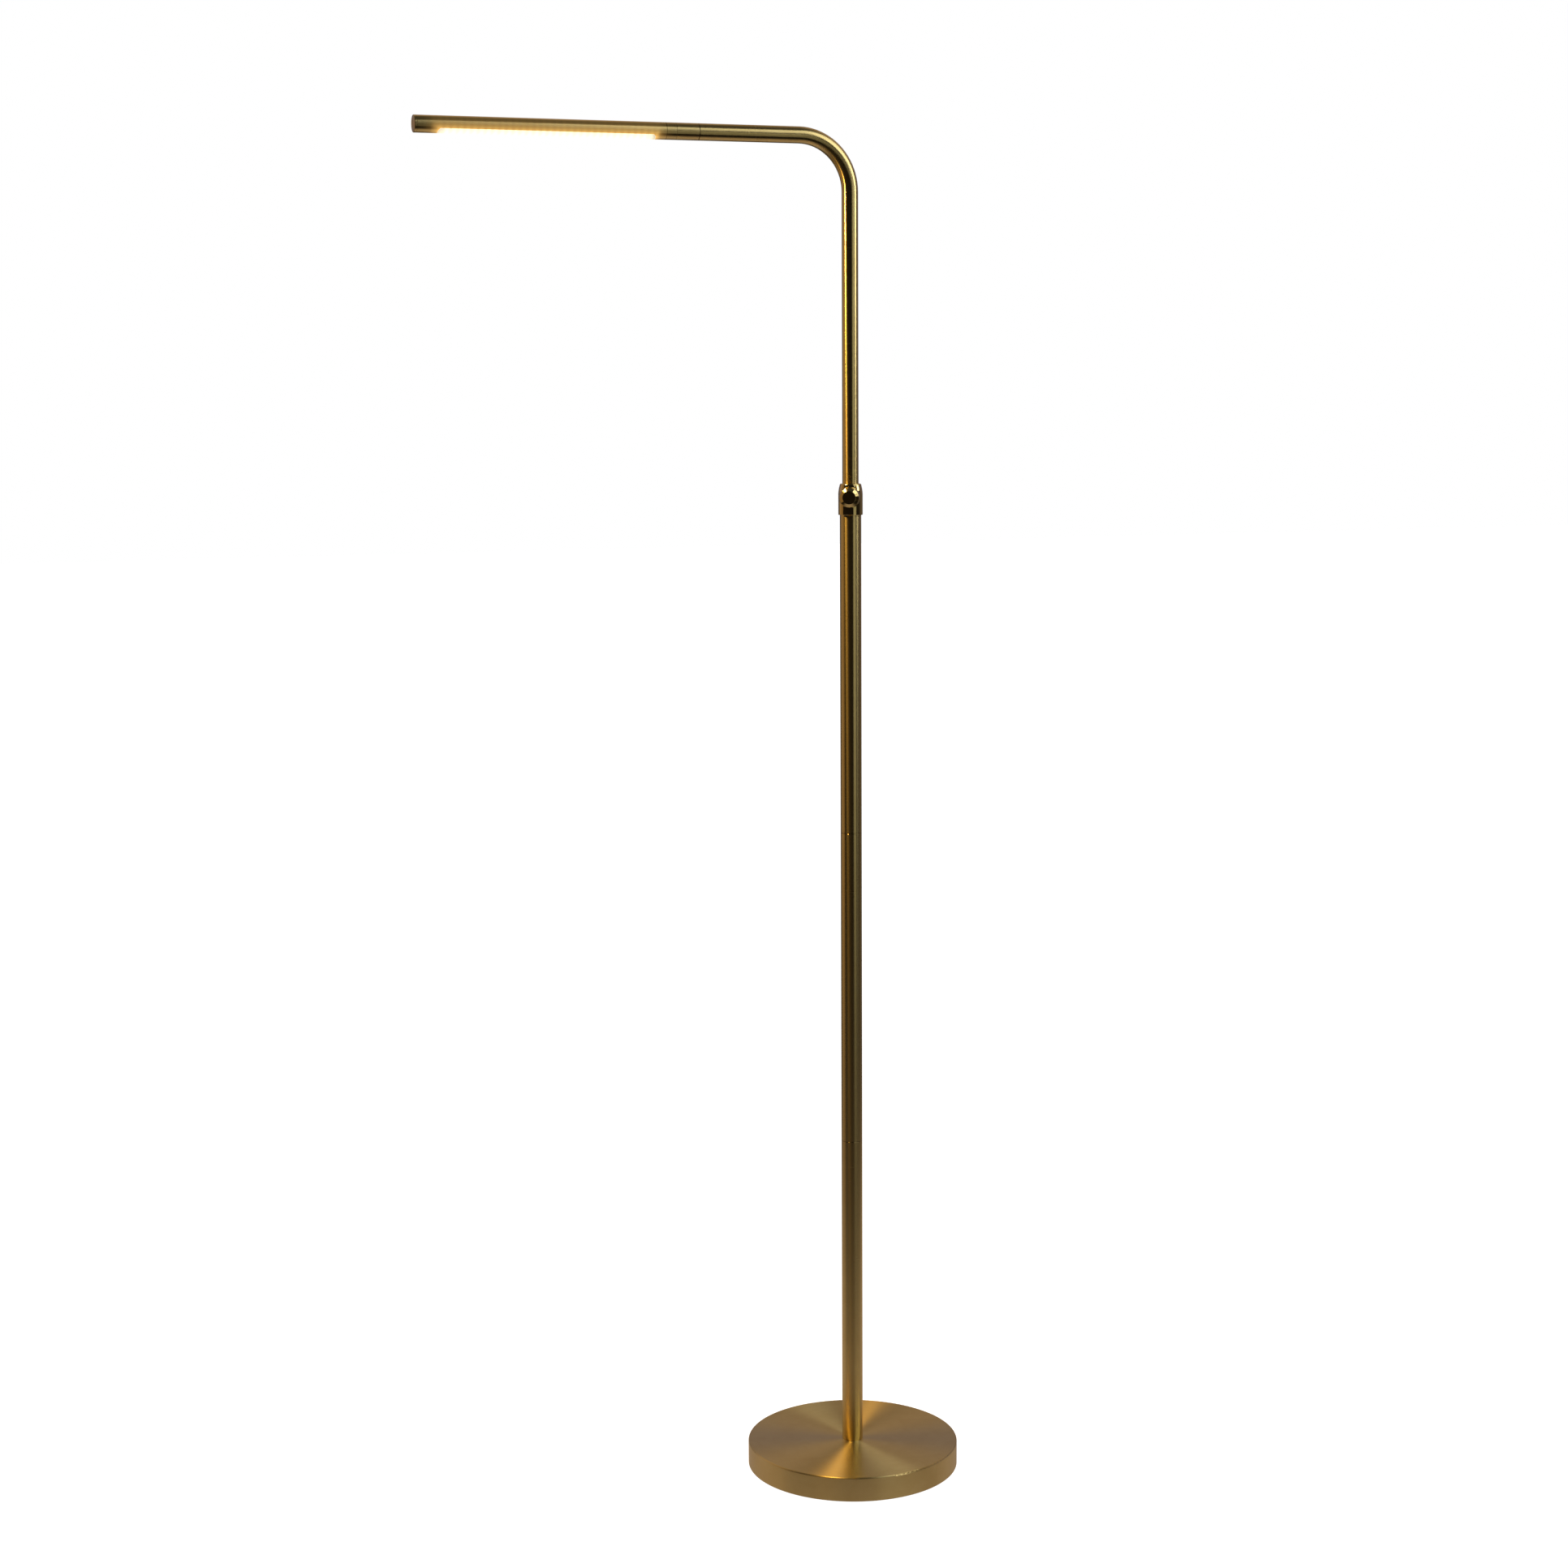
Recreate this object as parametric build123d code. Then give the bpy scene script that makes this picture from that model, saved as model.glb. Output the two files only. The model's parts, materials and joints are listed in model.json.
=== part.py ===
from build123d import *
import os
from math import asin, cos, degrees, radians, sin, sqrt

# Floor lamp: a weighted round base, a three-piece pole, a clamp collar with a knob, a thinner
# bent tube that slides and turns in the collar, and a slim light head that turns on the tube's end.
# Millimetres. The origin is the middle of the resting face, +Z is up and the arm runs along -X.

# Clearances
RUNNING_GAP = 0.05  # radial, between a sliding or turning piece and its bore
LOOSE_GAP = 0.3  # radial, between a piece and a hole that it only passes through
DROP_IN_GAP = 0.1  # around a piece that is slid into a tube
EDGE_BREAK = 0.25  # chamfer on tube ends that meet at a seam

# Bent tube
TUBE_DIAMETER = 19.0
TUBE_WALL = 1.0
ARM_HEIGHT = 1582.0
ARM_REACH = 182.4
BEND_RADIUS = 62.0

# Bushes and rings that guide the tube in the pole
SLIDE_BUSH_WALL = 1.7
SLIDE_BUSH_LENGTH = 30.0
SLIDE_BUSH_TOP_GAP = 0.5
GUIDE_BUSH_LENGTH = 30.0
GUIDE_FLANGE_THICKNESS = 2.0
RETAINING_RING_THICKNESS = 1.2
RETAINING_RING_SPLIT = 2.5
RETAINING_RING_SIDE_GAP = 0.5
RETAINING_GROOVE_DEPTH = 0.4
RING_END_GAP = 0.2
TUBE_TAIL = 3.0
LEAD_BUSH_LENGTH = 12.0
LEAD_BUSH_FLANGE = 1.5

# Pole
POLE_WALL = 1.2
SECTION_LENGTH = 374.0
SECTION_COUNT = 3
COUPLER_LENGTH = 30.0
COUPLER_WALL = 2.3
FOOT_PLUG_LENGTH = 24.0

# Clamp collar
COLLAR_WALL = 1.7
COLLAR_HEIGHT = 36.0
COLLAR_SOCKET_DEPTH = 14.0
COLLAR_TOP_LAND = 1.6
COLLAR_RIM_WIDTH = 1.3
COLLAR_RIM_HEIGHT = 2.2
COLLAR_RIM_ROUND = 2.4
COLLAR_TAPER_HEIGHT = 12.5
COLLAR_TAPER_BULGE = 0.35

# Clamp knob, screw and shoe, on a level line through the collar
KNOB_AZIMUTH = 245.0
KNOB_ABOVE_BUSH = 4.6
KNOB_LIP_DIAMETER = 24.6
KNOB_SHOULDER_DIAMETER = 22.4
KNOB_FACE_DIAMETER = 15.2
KNOB_DEPTH = 11.4
KNOB_BEVEL_DEPTH = 3.0
KNOB_LIP_THICKNESS = 1.6
KNOB_STAND_OFF = 0.9
KNOB_EDGE_RADIUS = 0.4
KNOB_GROOVE_PLACES = (3.4, 5.0)
KNOB_GROOVE_WIDTH = 0.5
KNOB_GROOVE_BOTTOM_DIAMETER = 22.4
KNOB_BACK_RECESS_DIAMETER = 18.0
KNOB_BACK_RECESS_DEPTH = 1.0
SCREW_DIAMETER = 6.0
SCREW_GRIP = 7.0
SHOE_SIDE_GAP = 0.15
SHOE_THICKNESS = 1.6

# Base
BASE_DIAMETER = 254.0
BASE_HEIGHT = 30.0
COVER_WALL = 1.2
COVER_LIFT = 1.0
COVER_RIM_RADIUS = 1.8
COVER_INNER_RADIUS = 0.6
PAD_THICKNESS = 2.0
PAD_MARGIN = 5.5
WEIGHT_THICKNESS = 14.0
WEIGHT_SIDE_GAP = 0.5
WEIGHT_BOSS_DIAMETER = 60.0
NUT_RECESS_DIAMETER = 34.0
NUT_RECESS_DEPTH = 12.5
CHANNEL_WIDTH = 14.0
CHANNEL_DEPTH = 12.0

# Threaded nipple that ties the pole, the cover and the weight together
NIPPLE_DIAMETER = 10.0
NIPPLE_BORE = 6.5
NIPPLE_TIP = 0.5
NIPPLE_GRIP = 18.0
NUT_ACROSS_FLATS = 17.0
NUT_THICKNESS = 3.5
WASHER_DIAMETER = 26.0
WASHER_THICKNESS = 1.5

# Cord inlet at the back of the base
GROMMET_BORE = 6.0
GROMMET_HOLE = 9.0
GROMMET_FLANGE = 11.4
GROMMET_OUTER_LIP = 1.6
GROMMET_INNER_LIP = 2.6
GROMMET_HEIGHT = 8.0

# Terminal block in the weight's channel
BLOCK_WIDTH = 10.0
BLOCK_LENGTH = 24.0
BLOCK_HEIGHT = 8.0
BLOCK_NEAR_END = 66.0
BLOCK_EDGE = 0.6
BLOCK_SCREW_DIAMETER = 2.6
BLOCK_SCREW_DEPTH = 3.0
BLOCK_SCREW_PITCH = 11.0
BLOCK_SCREW_SPREAD = 4.6

# Swivel between the arm and the head
SWIVEL_PLUG_LENGTH = 16.0
SWIVEL_RING_LENGTH = 26.6
SWIVEL_HUB_LENGTH = 16.8
SWIVEL_SPIGOT_LENGTH = 11.7
SWIVEL_SPIGOT_WALL = 0.7
SWIVEL_WASHER_THICKNESS = 0.3
SWIVEL_WASHER_WIDTH = 1.3
SPINDLE_DIAMETER = 8.0
SPINDLE_TIP = 2.0
STOP_PIN_DIAMETER = 2.0
STOP_PIN_SEAT = 6.0
STOP_PIN_REACH = 3.5
STOP_SLOT_DEPTH = 4.0
STOP_SLOT_SIDE_GAP = 0.15
HEAD_TURN_EACH_WAY = 90.0
SPRING_WASHER_SIDE_GAP = 0.8
SPRING_WASHER_HEIGHT = 1.0
SPRING_WASHER_SHEET = 0.5
SWIVEL_NUT_THICKNESS = 4.0

# Light head
HEAD_LENGTH = 293.3
END_CAP_THICKNESS = 3.0
END_CAP_SPIGOT = 8.0
END_CAP_EDGE = 0.6
WINDOW_SETBACK = 23.9
WINDOW_LENGTH = 246.8
WINDOW_DROP = 4.75
WINDOW_CORNER_RADIUS = 4.5
DIFFUSER_WALL = 1.3
DIFFUSER_LIP_RISE = 3.5
DIFFUSER_LIP_OVERLAP = 8.0
DIFFUSER_GAP = 0.08
BOARD_THICKNESS = 1.0
BOARD_UNDERSIDE = 1.9
BOARD_SIDE_MARGIN = 0.9
BOARD_SPIGOT_GAP = 5.0
BOARD_CAP_GAP = 0.6
CHIP_PLACES = 32
CHIP_SIZE = 3.0
CHIP_HEIGHT = 0.7
BOARD_SCREW_COUNT = 4
BOARD_SCREW_DIAMETER = 2.0
BOARD_SCREW_HEAD = 3.6
BOARD_SCREW_HEAD_HEIGHT = 0.9
BOARD_SCREW_DEPTH = 3.5
CONNECTOR_LENGTH = 7.0
CONNECTOR_WIDTH = 8.0
CONNECTOR_DROP = 4.1

# Internal leads
LEAD_DIAMETER = 3.6
LEAD_HEIGHT_IN_BASE = 4.2
LEAD_BASE_BEND = 6.0
COIL_DIAMETER = 12.0
COIL_FOOT = 250.0

# Diameters that follow from what fits in what
TUBE_BORE = TUBE_DIAMETER - 2 * TUBE_WALL
BUSH_BORE = TUBE_DIAMETER + 2 * RUNNING_GAP
SLIDE_BUSH_DIAMETER = BUSH_BORE + 2 * SLIDE_BUSH_WALL
POLE_BORE = SLIDE_BUSH_DIAMETER + 2 * RUNNING_GAP
POLE_DIAMETER = POLE_BORE + 2 * POLE_WALL
COLLAR_DIAMETER = POLE_DIAMETER + 2 * COLLAR_WALL
SWIVEL_POCKET_DIAMETER = TUBE_BORE - 2 * SWIVEL_SPIGOT_WALL
SWIVEL_WASHER_DIAMETER = SPINDLE_DIAMETER + 2 * SWIVEL_WASHER_WIDTH
STOP_PIN_RADIUS = (SWIVEL_WASHER_DIAMETER + TUBE_BORE) / 4
SINK_DIAMETER = TUBE_BORE - 2 * DROP_IN_GAP

# Heights in the base and the pole
BASE_RADIUS = BASE_DIAMETER / 2
COVER_UNDERSIDE = BASE_HEIGHT - COVER_WALL
WEIGHT_TOP = PAD_THICKNESS + WEIGHT_THICKNESS
RECESS_TOP = PAD_THICKNESS + NUT_RECESS_DEPTH
NUT_TOP = RECESS_TOP - WASHER_THICKNESS
NUT_BOTTOM = NUT_TOP - NUT_THICKNESS
NIPPLE_BOTTOM = NUT_BOTTOM - NIPPLE_TIP
NIPPLE_TOP = BASE_HEIGHT + NIPPLE_GRIP
COLLAR_FOOT = BASE_HEIGHT + SECTION_COUNT * SECTION_LENGTH
COLLAR_TOP = COLLAR_FOOT + COLLAR_HEIGHT
POLE_TOP = COLLAR_FOOT + COLLAR_SOCKET_DEPTH
GUIDE_TOP = POLE_TOP + GUIDE_FLANGE_THICKNESS
GUIDE_BOTTOM = GUIDE_TOP - GUIDE_BUSH_LENGTH
KNOB_HEIGHT = GUIDE_TOP + KNOB_ABOVE_BUSH

# Heights of the pieces on the tube's lower end, with the tube drawn out to its stop
UPPER_RING_TOP = GUIDE_BOTTOM - SLIDE_BUSH_TOP_GAP
SLIDE_BUSH_TOP = UPPER_RING_TOP - RETAINING_RING_THICKNESS - RING_END_GAP
SLIDE_BUSH_BOTTOM = SLIDE_BUSH_TOP - SLIDE_BUSH_LENGTH
LOWER_RING_TOP = SLIDE_BUSH_BOTTOM - RING_END_GAP
TUBE_BOTTOM = LOWER_RING_TOP - RETAINING_RING_THICKNESS - TUBE_TAIL
LEAD_BUSH_BOTTOM = TUBE_BOTTOM - LEAD_BUSH_FLANGE

# Distances outward from the pole's axis along the knob's line
SHOE_INNER = TUBE_DIAMETER / 2 + RUNNING_GAP
SHOE_OUTER = SHOE_INNER + SHOE_THICKNESS
KNOB_BACK = COLLAR_DIAMETER / 2 + KNOB_STAND_OFF
KNOB_RECESS_END = KNOB_BACK + KNOB_BACK_RECESS_DEPTH

# Distances outward from the pole's axis along the arm
RING_START = ARM_REACH + SWIVEL_WASHER_THICKNESS
POCKET_START = RING_START + SWIVEL_HUB_LENGTH
SWIVEL_NUT_START = POCKET_START + SPRING_WASHER_HEIGHT
LEAD_JOIN = SWIVEL_NUT_START + SWIVEL_NUT_THICKNESS + SPINDLE_TIP
RING_END = RING_START + SWIVEL_RING_LENGTH
SPIGOT_END = RING_END + SWIVEL_SPIGOT_LENGTH
HEAD_END = RING_END + HEAD_LENGTH
WINDOW_START = RING_END + WINDOW_SETBACK
WINDOW_END = WINDOW_START + WINDOW_LENGTH
BOARD_START = SPIGOT_END + BOARD_SPIGOT_GAP
BOARD_END = HEAD_END - END_CAP_SPIGOT - BOARD_CAP_GAP

# Heights above the arm's centre line
BOARD_TOP = BOARD_UNDERSIDE + BOARD_THICKNESS
BOARD_WIDTH = 2 * (sqrt((SINK_DIAMETER / 2) ** 2 - BOARD_TOP**2) - BOARD_SIDE_MARGIN)

# Frames: local Z runs along the arm, outward along the knob's line, or out through the inlet.
ARM_FRAME = Plane(origin=(0, 0, ARM_HEIGHT), x_dir=(0, -1, 0), z_dir=(-1, 0, 0))
KNOB_FRAME = Plane(
    origin=(0, 0, KNOB_HEIGHT),
    x_dir=(-sin(radians(KNOB_AZIMUTH)), cos(radians(KNOB_AZIMUTH)), 0),
    z_dir=(cos(radians(KNOB_AZIMUTH)), sin(radians(KNOB_AZIMUTH)), 0),
)
INLET_FRAME = Plane(origin=(0, 0, GROMMET_HEIGHT), x_dir=(1, 0, 0), z_dir=(0, 1, 0))


def rod(diameter, start, end):
    """A solid cylinder on the local Z axis."""
    length = end - start
    return Pos(0, 0, start) * Cylinder(diameter / 2, length, align=(Align.CENTER, Align.CENTER, Align.MIN))


def sleeve(outer, bore, start, end):
    """A hollow cylinder on the local Z axis."""
    return rod(outer, start, end) - rod(bore, start, end)


def block(width, depth, height, x, y, z):
    """A box whose middle in X and Y, and whose underside, are at the given point."""
    return Pos(x, y, z) * Box(width, depth, height, align=(Align.CENTER, Align.CENTER, Align.MIN))


def hexagon(across_flats, bore, start, end):
    """A hexagonal nut on the local Z axis."""
    outline = RegularPolygon(across_flats / 2, 6, major_radius=False)
    body = Pos(0, 0, start) * extrude(outline, end - start)
    return body - rod(bore, start, end)


def broken_ends(tube):
    """Chamfer the outer edge at both ends of a tube on the local Z axis."""
    rims = tube.edges().filter_by(GeomType.CIRCLE).group_by(lambda edge: edge.radius)[-1]
    return chamfer(rims, EDGE_BREAK)


def turned(points):
    """A solid of revolution about the local Z axis from (radius, height) corners."""
    outline = make_face(Plane.XZ * Polyline(*points, close=True))
    return revolve(outline, Axis.Z)


# Base


def base_cover():
    shell = rod(BASE_DIAMETER, COVER_LIFT, BASE_HEIGHT)
    shell = fillet(shell.edges().group_by(Axis.Z)[-1], COVER_RIM_RADIUS)
    hollow = rod(BASE_DIAMETER - 2 * COVER_WALL, COVER_LIFT, COVER_UNDERSIDE)
    hollow = fillet(hollow.edges().group_by(Axis.Z)[-1], COVER_INNER_RADIUS)
    shell = shell - hollow
    shell = shell - rod(NIPPLE_DIAMETER + 2 * LOOSE_GAP, COVER_UNDERSIDE, BASE_HEIGHT)
    inlet = rod(GROMMET_HOLE, BASE_RADIUS - 2 * COVER_WALL, BASE_RADIUS + COVER_WALL)
    return shell - INLET_FRAME.location * inlet


def base_weight():
    disc_diameter = BASE_DIAMETER - 2 * COVER_WALL - 2 * WEIGHT_SIDE_GAP
    disc = rod(disc_diameter, PAD_THICKNESS, WEIGHT_TOP)
    boss = rod(WEIGHT_BOSS_DIAMETER, WEIGHT_TOP, COVER_UNDERSIDE)
    recess = rod(NUT_RECESS_DIAMETER, PAD_THICKNESS, RECESS_TOP)
    hole = rod(NIPPLE_DIAMETER + 2 * LOOSE_GAP, RECESS_TOP, COVER_UNDERSIDE)
    channel = block(CHANNEL_WIDTH, BASE_RADIUS, CHANNEL_DEPTH, 0, BASE_RADIUS / 2, PAD_THICKNESS)
    return disc + boss - recess - hole - channel


def base_pad():
    return rod(BASE_DIAMETER - 2 * COVER_WALL - 2 * PAD_MARGIN, 0, PAD_THICKNESS)


def base_nipple():
    return sleeve(NIPPLE_DIAMETER, NIPPLE_BORE, NIPPLE_BOTTOM, NIPPLE_TOP)


def base_washer():
    return sleeve(WASHER_DIAMETER, NIPPLE_DIAMETER, NUT_TOP, RECESS_TOP)


def base_nut():
    return hexagon(NUT_ACROSS_FLATS, NIPPLE_DIAMETER, NUT_BOTTOM, NUT_TOP)


def cord_grommet():
    """A rubber bush whose lips hold the cover's wall between them."""
    inner_face = BASE_RADIUS - COVER_WALL - GROMMET_INNER_LIP
    outer_face = BASE_RADIUS + GROMMET_OUTER_LIP
    body = sleeve(GROMMET_FLANGE, GROMMET_BORE, inner_face, outer_face)
    body = fillet(body.edges().group_by(Axis.Z)[-1].sort_by(SortBy.RADIUS)[-1], GROMMET_OUTER_LIP / 2)
    return INLET_FRAME.location * body - base_cover()


def terminal_block():
    far_end = BLOCK_NEAR_END + BLOCK_LENGTH
    middle = (BLOCK_NEAR_END + far_end) / 2
    body = block(BLOCK_WIDTH, BLOCK_LENGTH, BLOCK_HEIGHT, 0, middle, PAD_THICKNESS)
    body = chamfer(body.edges().group_by(Axis.Z)[-1], BLOCK_EDGE)
    top = PAD_THICKNESS + BLOCK_HEIGHT
    for side in (-1, 1):
        for end in (-1, 1):
            x = side * BLOCK_SCREW_SPREAD / 2
            y = middle + end * BLOCK_SCREW_PITCH / 2
            body -= Pos(x, y, 0) * rod(BLOCK_SCREW_DIAMETER, top - BLOCK_SCREW_DEPTH, top)
    return body


# Pole


def pole_foot_plug():
    return sleeve(POLE_BORE, NIPPLE_DIAMETER, BASE_HEIGHT, BASE_HEIGHT + FOOT_PLUG_LENGTH)


def pole_section(index):
    """One tube of the pole; the last one also runs up into the collar's socket."""
    start = BASE_HEIGHT + index * SECTION_LENGTH
    end = start + SECTION_LENGTH
    if index == SECTION_COUNT - 1:
        end = POLE_TOP
    return broken_ends(sleeve(POLE_DIAMETER, POLE_BORE, start, end))


def pole_coupler(index):
    """A threaded sleeve inside the two tubes that meet above section index."""
    seam = BASE_HEIGHT + (index + 1) * SECTION_LENGTH
    half = COUPLER_LENGTH / 2
    return sleeve(POLE_BORE, POLE_BORE - 2 * COUPLER_WALL, seam - half, seam + half)


def clamp_collar():
    """A turned collar with a rounded rim, a slightly bulged taper and a straight skirt."""
    rim_base = COLLAR_TOP - COLLAR_RIM_HEIGHT
    taper_base = COLLAR_TOP - COLLAR_TAPER_HEIGHT
    hole_radius = TUBE_DIAMETER / 2 + LOOSE_GAP
    top_radius = hole_radius + COLLAR_TOP_LAND
    rim_radius = top_radius + COLLAR_RIM_WIDTH
    skirt_radius = COLLAR_DIAMETER / 2
    rim = RadiusArc((rim_radius, rim_base), (top_radius, COLLAR_TOP), -COLLAR_RIM_ROUND)
    middle_radius = (rim_radius + skirt_radius) / 2 + COLLAR_TAPER_BULGE
    middle_height = (rim_base + taper_base) / 2
    taper = ThreePointArc((skirt_radius, taper_base), (middle_radius, middle_height), (rim_radius, rim_base))
    sides = Polyline(
        (top_radius, COLLAR_TOP), (0, COLLAR_TOP), (0, COLLAR_FOOT),
        (skirt_radius, COLLAR_FOOT), (skirt_radius, taper_base),
    )
    body = revolve(Plane.XZ * make_face(rim + taper + sides), Axis.Z)
    body = chamfer(body.edges().filter_by(GeomType.CIRCLE).group_by(Axis.Z)[0], EDGE_BREAK)
    body -= rod(POLE_DIAMETER, COLLAR_FOOT, GUIDE_TOP)
    body -= rod(2 * hole_radius, GUIDE_TOP, COLLAR_TOP)
    return body - KNOB_FRAME.location * rod(SCREW_DIAMETER, 0, COLLAR_DIAMETER)


def guide_bush():
    """The fixed plastic bush in the pole's top that the bent tube slides through."""
    barrel = sleeve(POLE_BORE, BUSH_BORE, GUIDE_BOTTOM, GUIDE_TOP)
    return barrel + sleeve(POLE_DIAMETER, BUSH_BORE, POLE_TOP, GUIDE_TOP)


# Clamp


def clamp_shoe():
    """A plastic pad, hollowed to the tube's curve, that the screw presses on the tube."""
    pad = KNOB_FRAME.location * rod(SCREW_DIAMETER - 2 * SHOE_SIDE_GAP, 0, SHOE_OUTER)
    return pad - rod(2 * SHOE_INNER, KNOB_HEIGHT - SCREW_DIAMETER, KNOB_HEIGHT + SCREW_DIAMETER)


def clamp_screw():
    shank = rod(SCREW_DIAMETER - 2 * RUNNING_GAP, SHOE_OUTER, KNOB_RECESS_END + SCREW_GRIP)
    return KNOB_FRAME.location * shank


def clamp_knob():
    """A slightly tapered knob with two grooves round it, a wide bevel and a flat polished face."""
    lip_front = KNOB_BACK + KNOB_LIP_THICKNESS
    face = KNOB_BACK + KNOB_DEPTH
    shoulder = face - KNOB_BEVEL_DEPTH
    lip_radius = KNOB_LIP_DIAMETER / 2
    body = turned([
        (0, KNOB_BACK), (lip_radius, KNOB_BACK), (lip_radius, lip_front),
        (KNOB_SHOULDER_DIAMETER / 2, shoulder), (KNOB_FACE_DIAMETER / 2, face), (0, face),
    ])
    body = fillet(body.edges().filter_by(GeomType.CIRCLE), KNOB_EDGE_RADIUS)
    for place in KNOB_GROOVE_PLACES:
        start = KNOB_BACK + place
        body -= sleeve(2 * KNOB_LIP_DIAMETER, KNOB_GROOVE_BOTTOM_DIAMETER, start, start + KNOB_GROOVE_WIDTH)
    body -= rod(KNOB_BACK_RECESS_DIAMETER, KNOB_BACK, KNOB_RECESS_END)
    body -= rod(SCREW_DIAMETER - 2 * RUNNING_GAP, KNOB_RECESS_END, KNOB_RECESS_END + SCREW_GRIP)
    return KNOB_FRAME.location * body


# Sliding and turning tube


def slide_bush():
    """The plastic bush that slides in the pole, with the tube turning inside it."""
    return sleeve(SLIDE_BUSH_DIAMETER, BUSH_BORE, SLIDE_BUSH_BOTTOM, SLIDE_BUSH_TOP)


def retaining_rings():
    """Two split rings in the tube's grooves, above and below the slide bush."""
    groove = TUBE_DIAMETER - 2 * RETAINING_GROOVE_DEPTH
    outer = POLE_BORE - 2 * RETAINING_RING_SIDE_GAP
    split = block(RETAINING_RING_SPLIT, outer, COLLAR_TOP, 0, outer / 2, 0)
    rings = []
    for top in (UPPER_RING_TOP, LOWER_RING_TOP):
        rings.append(sleeve(outer, groove, top - RETAINING_RING_THICKNESS, top) - split)
    return Compound(children=rings)


def arm_path(start, reach):
    """The bent tube's centre line, from a height on the pole's axis out to a reach."""
    return FilletPolyline((0, 0, start), (0, 0, ARM_HEIGHT), (-reach, 0, ARM_HEIGHT), radius=BEND_RADIUS)


def swept_tube(path, outer, bore):
    profile = Circle(outer / 2)
    if bore > 0:
        profile = profile - Circle(bore / 2)
    return sweep(Plane(origin=path @ 0, z_dir=path % 0) * profile, path)


def arm_tube():
    tube = swept_tube(arm_path(TUBE_BOTTOM, ARM_REACH), TUBE_DIAMETER, TUBE_BORE)
    end_rim = tube.edges().filter_by(GeomType.CIRCLE).group_by(Axis.X)[0].sort_by(SortBy.RADIUS)[-1]
    tube = chamfer(end_rim, EDGE_BREAK)
    groove = TUBE_DIAMETER - 2 * RETAINING_GROOVE_DEPTH
    for top in (UPPER_RING_TOP, LOWER_RING_TOP):
        tube -= sleeve(POLE_BORE, groove, top - RETAINING_RING_THICKNESS, top)
    return tube


def lead_bush():
    """A flanged plug that holds the lead in the tube's lower end."""
    plug = rod(TUBE_BORE, TUBE_BOTTOM, TUBE_BOTTOM + LEAD_BUSH_LENGTH)
    flange = rod(TUBE_DIAMETER, LEAD_BUSH_BOTTOM, TUBE_BOTTOM)
    return plug + flange - rod(LEAD_DIAMETER, LEAD_BUSH_BOTTOM, TUBE_BOTTOM + LEAD_BUSH_LENGTH)


# Swivel


def swivel_plug():
    """The plug fixed in the arm's end, with the hollow spindle that the head turns on."""
    plug = rod(TUBE_BORE, ARM_REACH - SWIVEL_PLUG_LENGTH, ARM_REACH)
    spindle = rod(SPINDLE_DIAMETER, ARM_REACH, LEAD_JOIN)
    bore = rod(LEAD_DIAMETER + 2 * LOOSE_GAP, ARM_REACH - SWIVEL_PLUG_LENGTH, LEAD_JOIN)
    pin_hole = Pos(0, STOP_PIN_RADIUS, 0) * rod(STOP_PIN_DIAMETER, ARM_REACH - STOP_PIN_SEAT, ARM_REACH)
    return ARM_FRAME.location * (plug + spindle - bore - pin_hole)


def swivel_stop_pin():
    pin = rod(STOP_PIN_DIAMETER, ARM_REACH - STOP_PIN_SEAT, RING_START + STOP_PIN_REACH)
    return ARM_FRAME.location * (Pos(0, STOP_PIN_RADIUS, 0) * pin)


def swivel_washer():
    washer = sleeve(SWIVEL_WASHER_DIAMETER, SPINDLE_DIAMETER, ARM_REACH, RING_START)
    return ARM_FRAME.location * washer


def stop_slot():
    """The arc slot in the swivel ring's face that the stop pin runs in."""
    reach = STOP_PIN_DIAMETER / 2 + STOP_SLOT_SIDE_GAP
    half_angle = HEAD_TURN_EACH_WAY + degrees(asin(reach / STOP_PIN_RADIUS))
    section = Pos(STOP_PIN_RADIUS, RING_START + STOP_SLOT_DEPTH / 2) * Rectangle(2 * reach, STOP_SLOT_DEPTH)
    slot = revolve(Plane.XZ * section, Axis.Z, revolution_arc=2 * half_angle)
    return Rot(0, 0, 90 - half_angle) * slot


def swivel_ring():
    """The turning ring: a hub on the spindle, a pocket for the nut, and a spigot for the head."""
    body = broken_ends(rod(TUBE_DIAMETER, RING_START, RING_END))
    body += rod(TUBE_BORE, RING_END, SPIGOT_END)
    body -= rod(SPINDLE_DIAMETER + 2 * RUNNING_GAP, RING_START, POCKET_START)
    body -= rod(SWIVEL_POCKET_DIAMETER, POCKET_START, SPIGOT_END)
    return ARM_FRAME.location * (body - stop_slot())


def spring_washer():
    """A conical spring washer that keeps the swivel stiff enough to stay where it is set."""
    bore = SPINDLE_DIAMETER / 2
    rim = SWIVEL_POCKET_DIAMETER / 2 - SPRING_WASHER_SIDE_GAP
    low = POCKET_START
    high = POCKET_START + SPRING_WASHER_HEIGHT
    cone = turned([
        (bore, high - SPRING_WASHER_SHEET), (rim, low),
        (rim, low + SPRING_WASHER_SHEET), (bore, high),
    ])
    return ARM_FRAME.location * cone


def swivel_nut():
    """A thin nut whose corners just clear the ring's pocket."""
    across_flats = (SWIVEL_POCKET_DIAMETER - 2 * LOOSE_GAP) * cos(radians(30))
    end = SWIVEL_NUT_START + SWIVEL_NUT_THICKNESS
    return ARM_FRAME.location * hexagon(across_flats, SPINDLE_DIAMETER, SWIVEL_NUT_START, end)


# Light head


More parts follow.
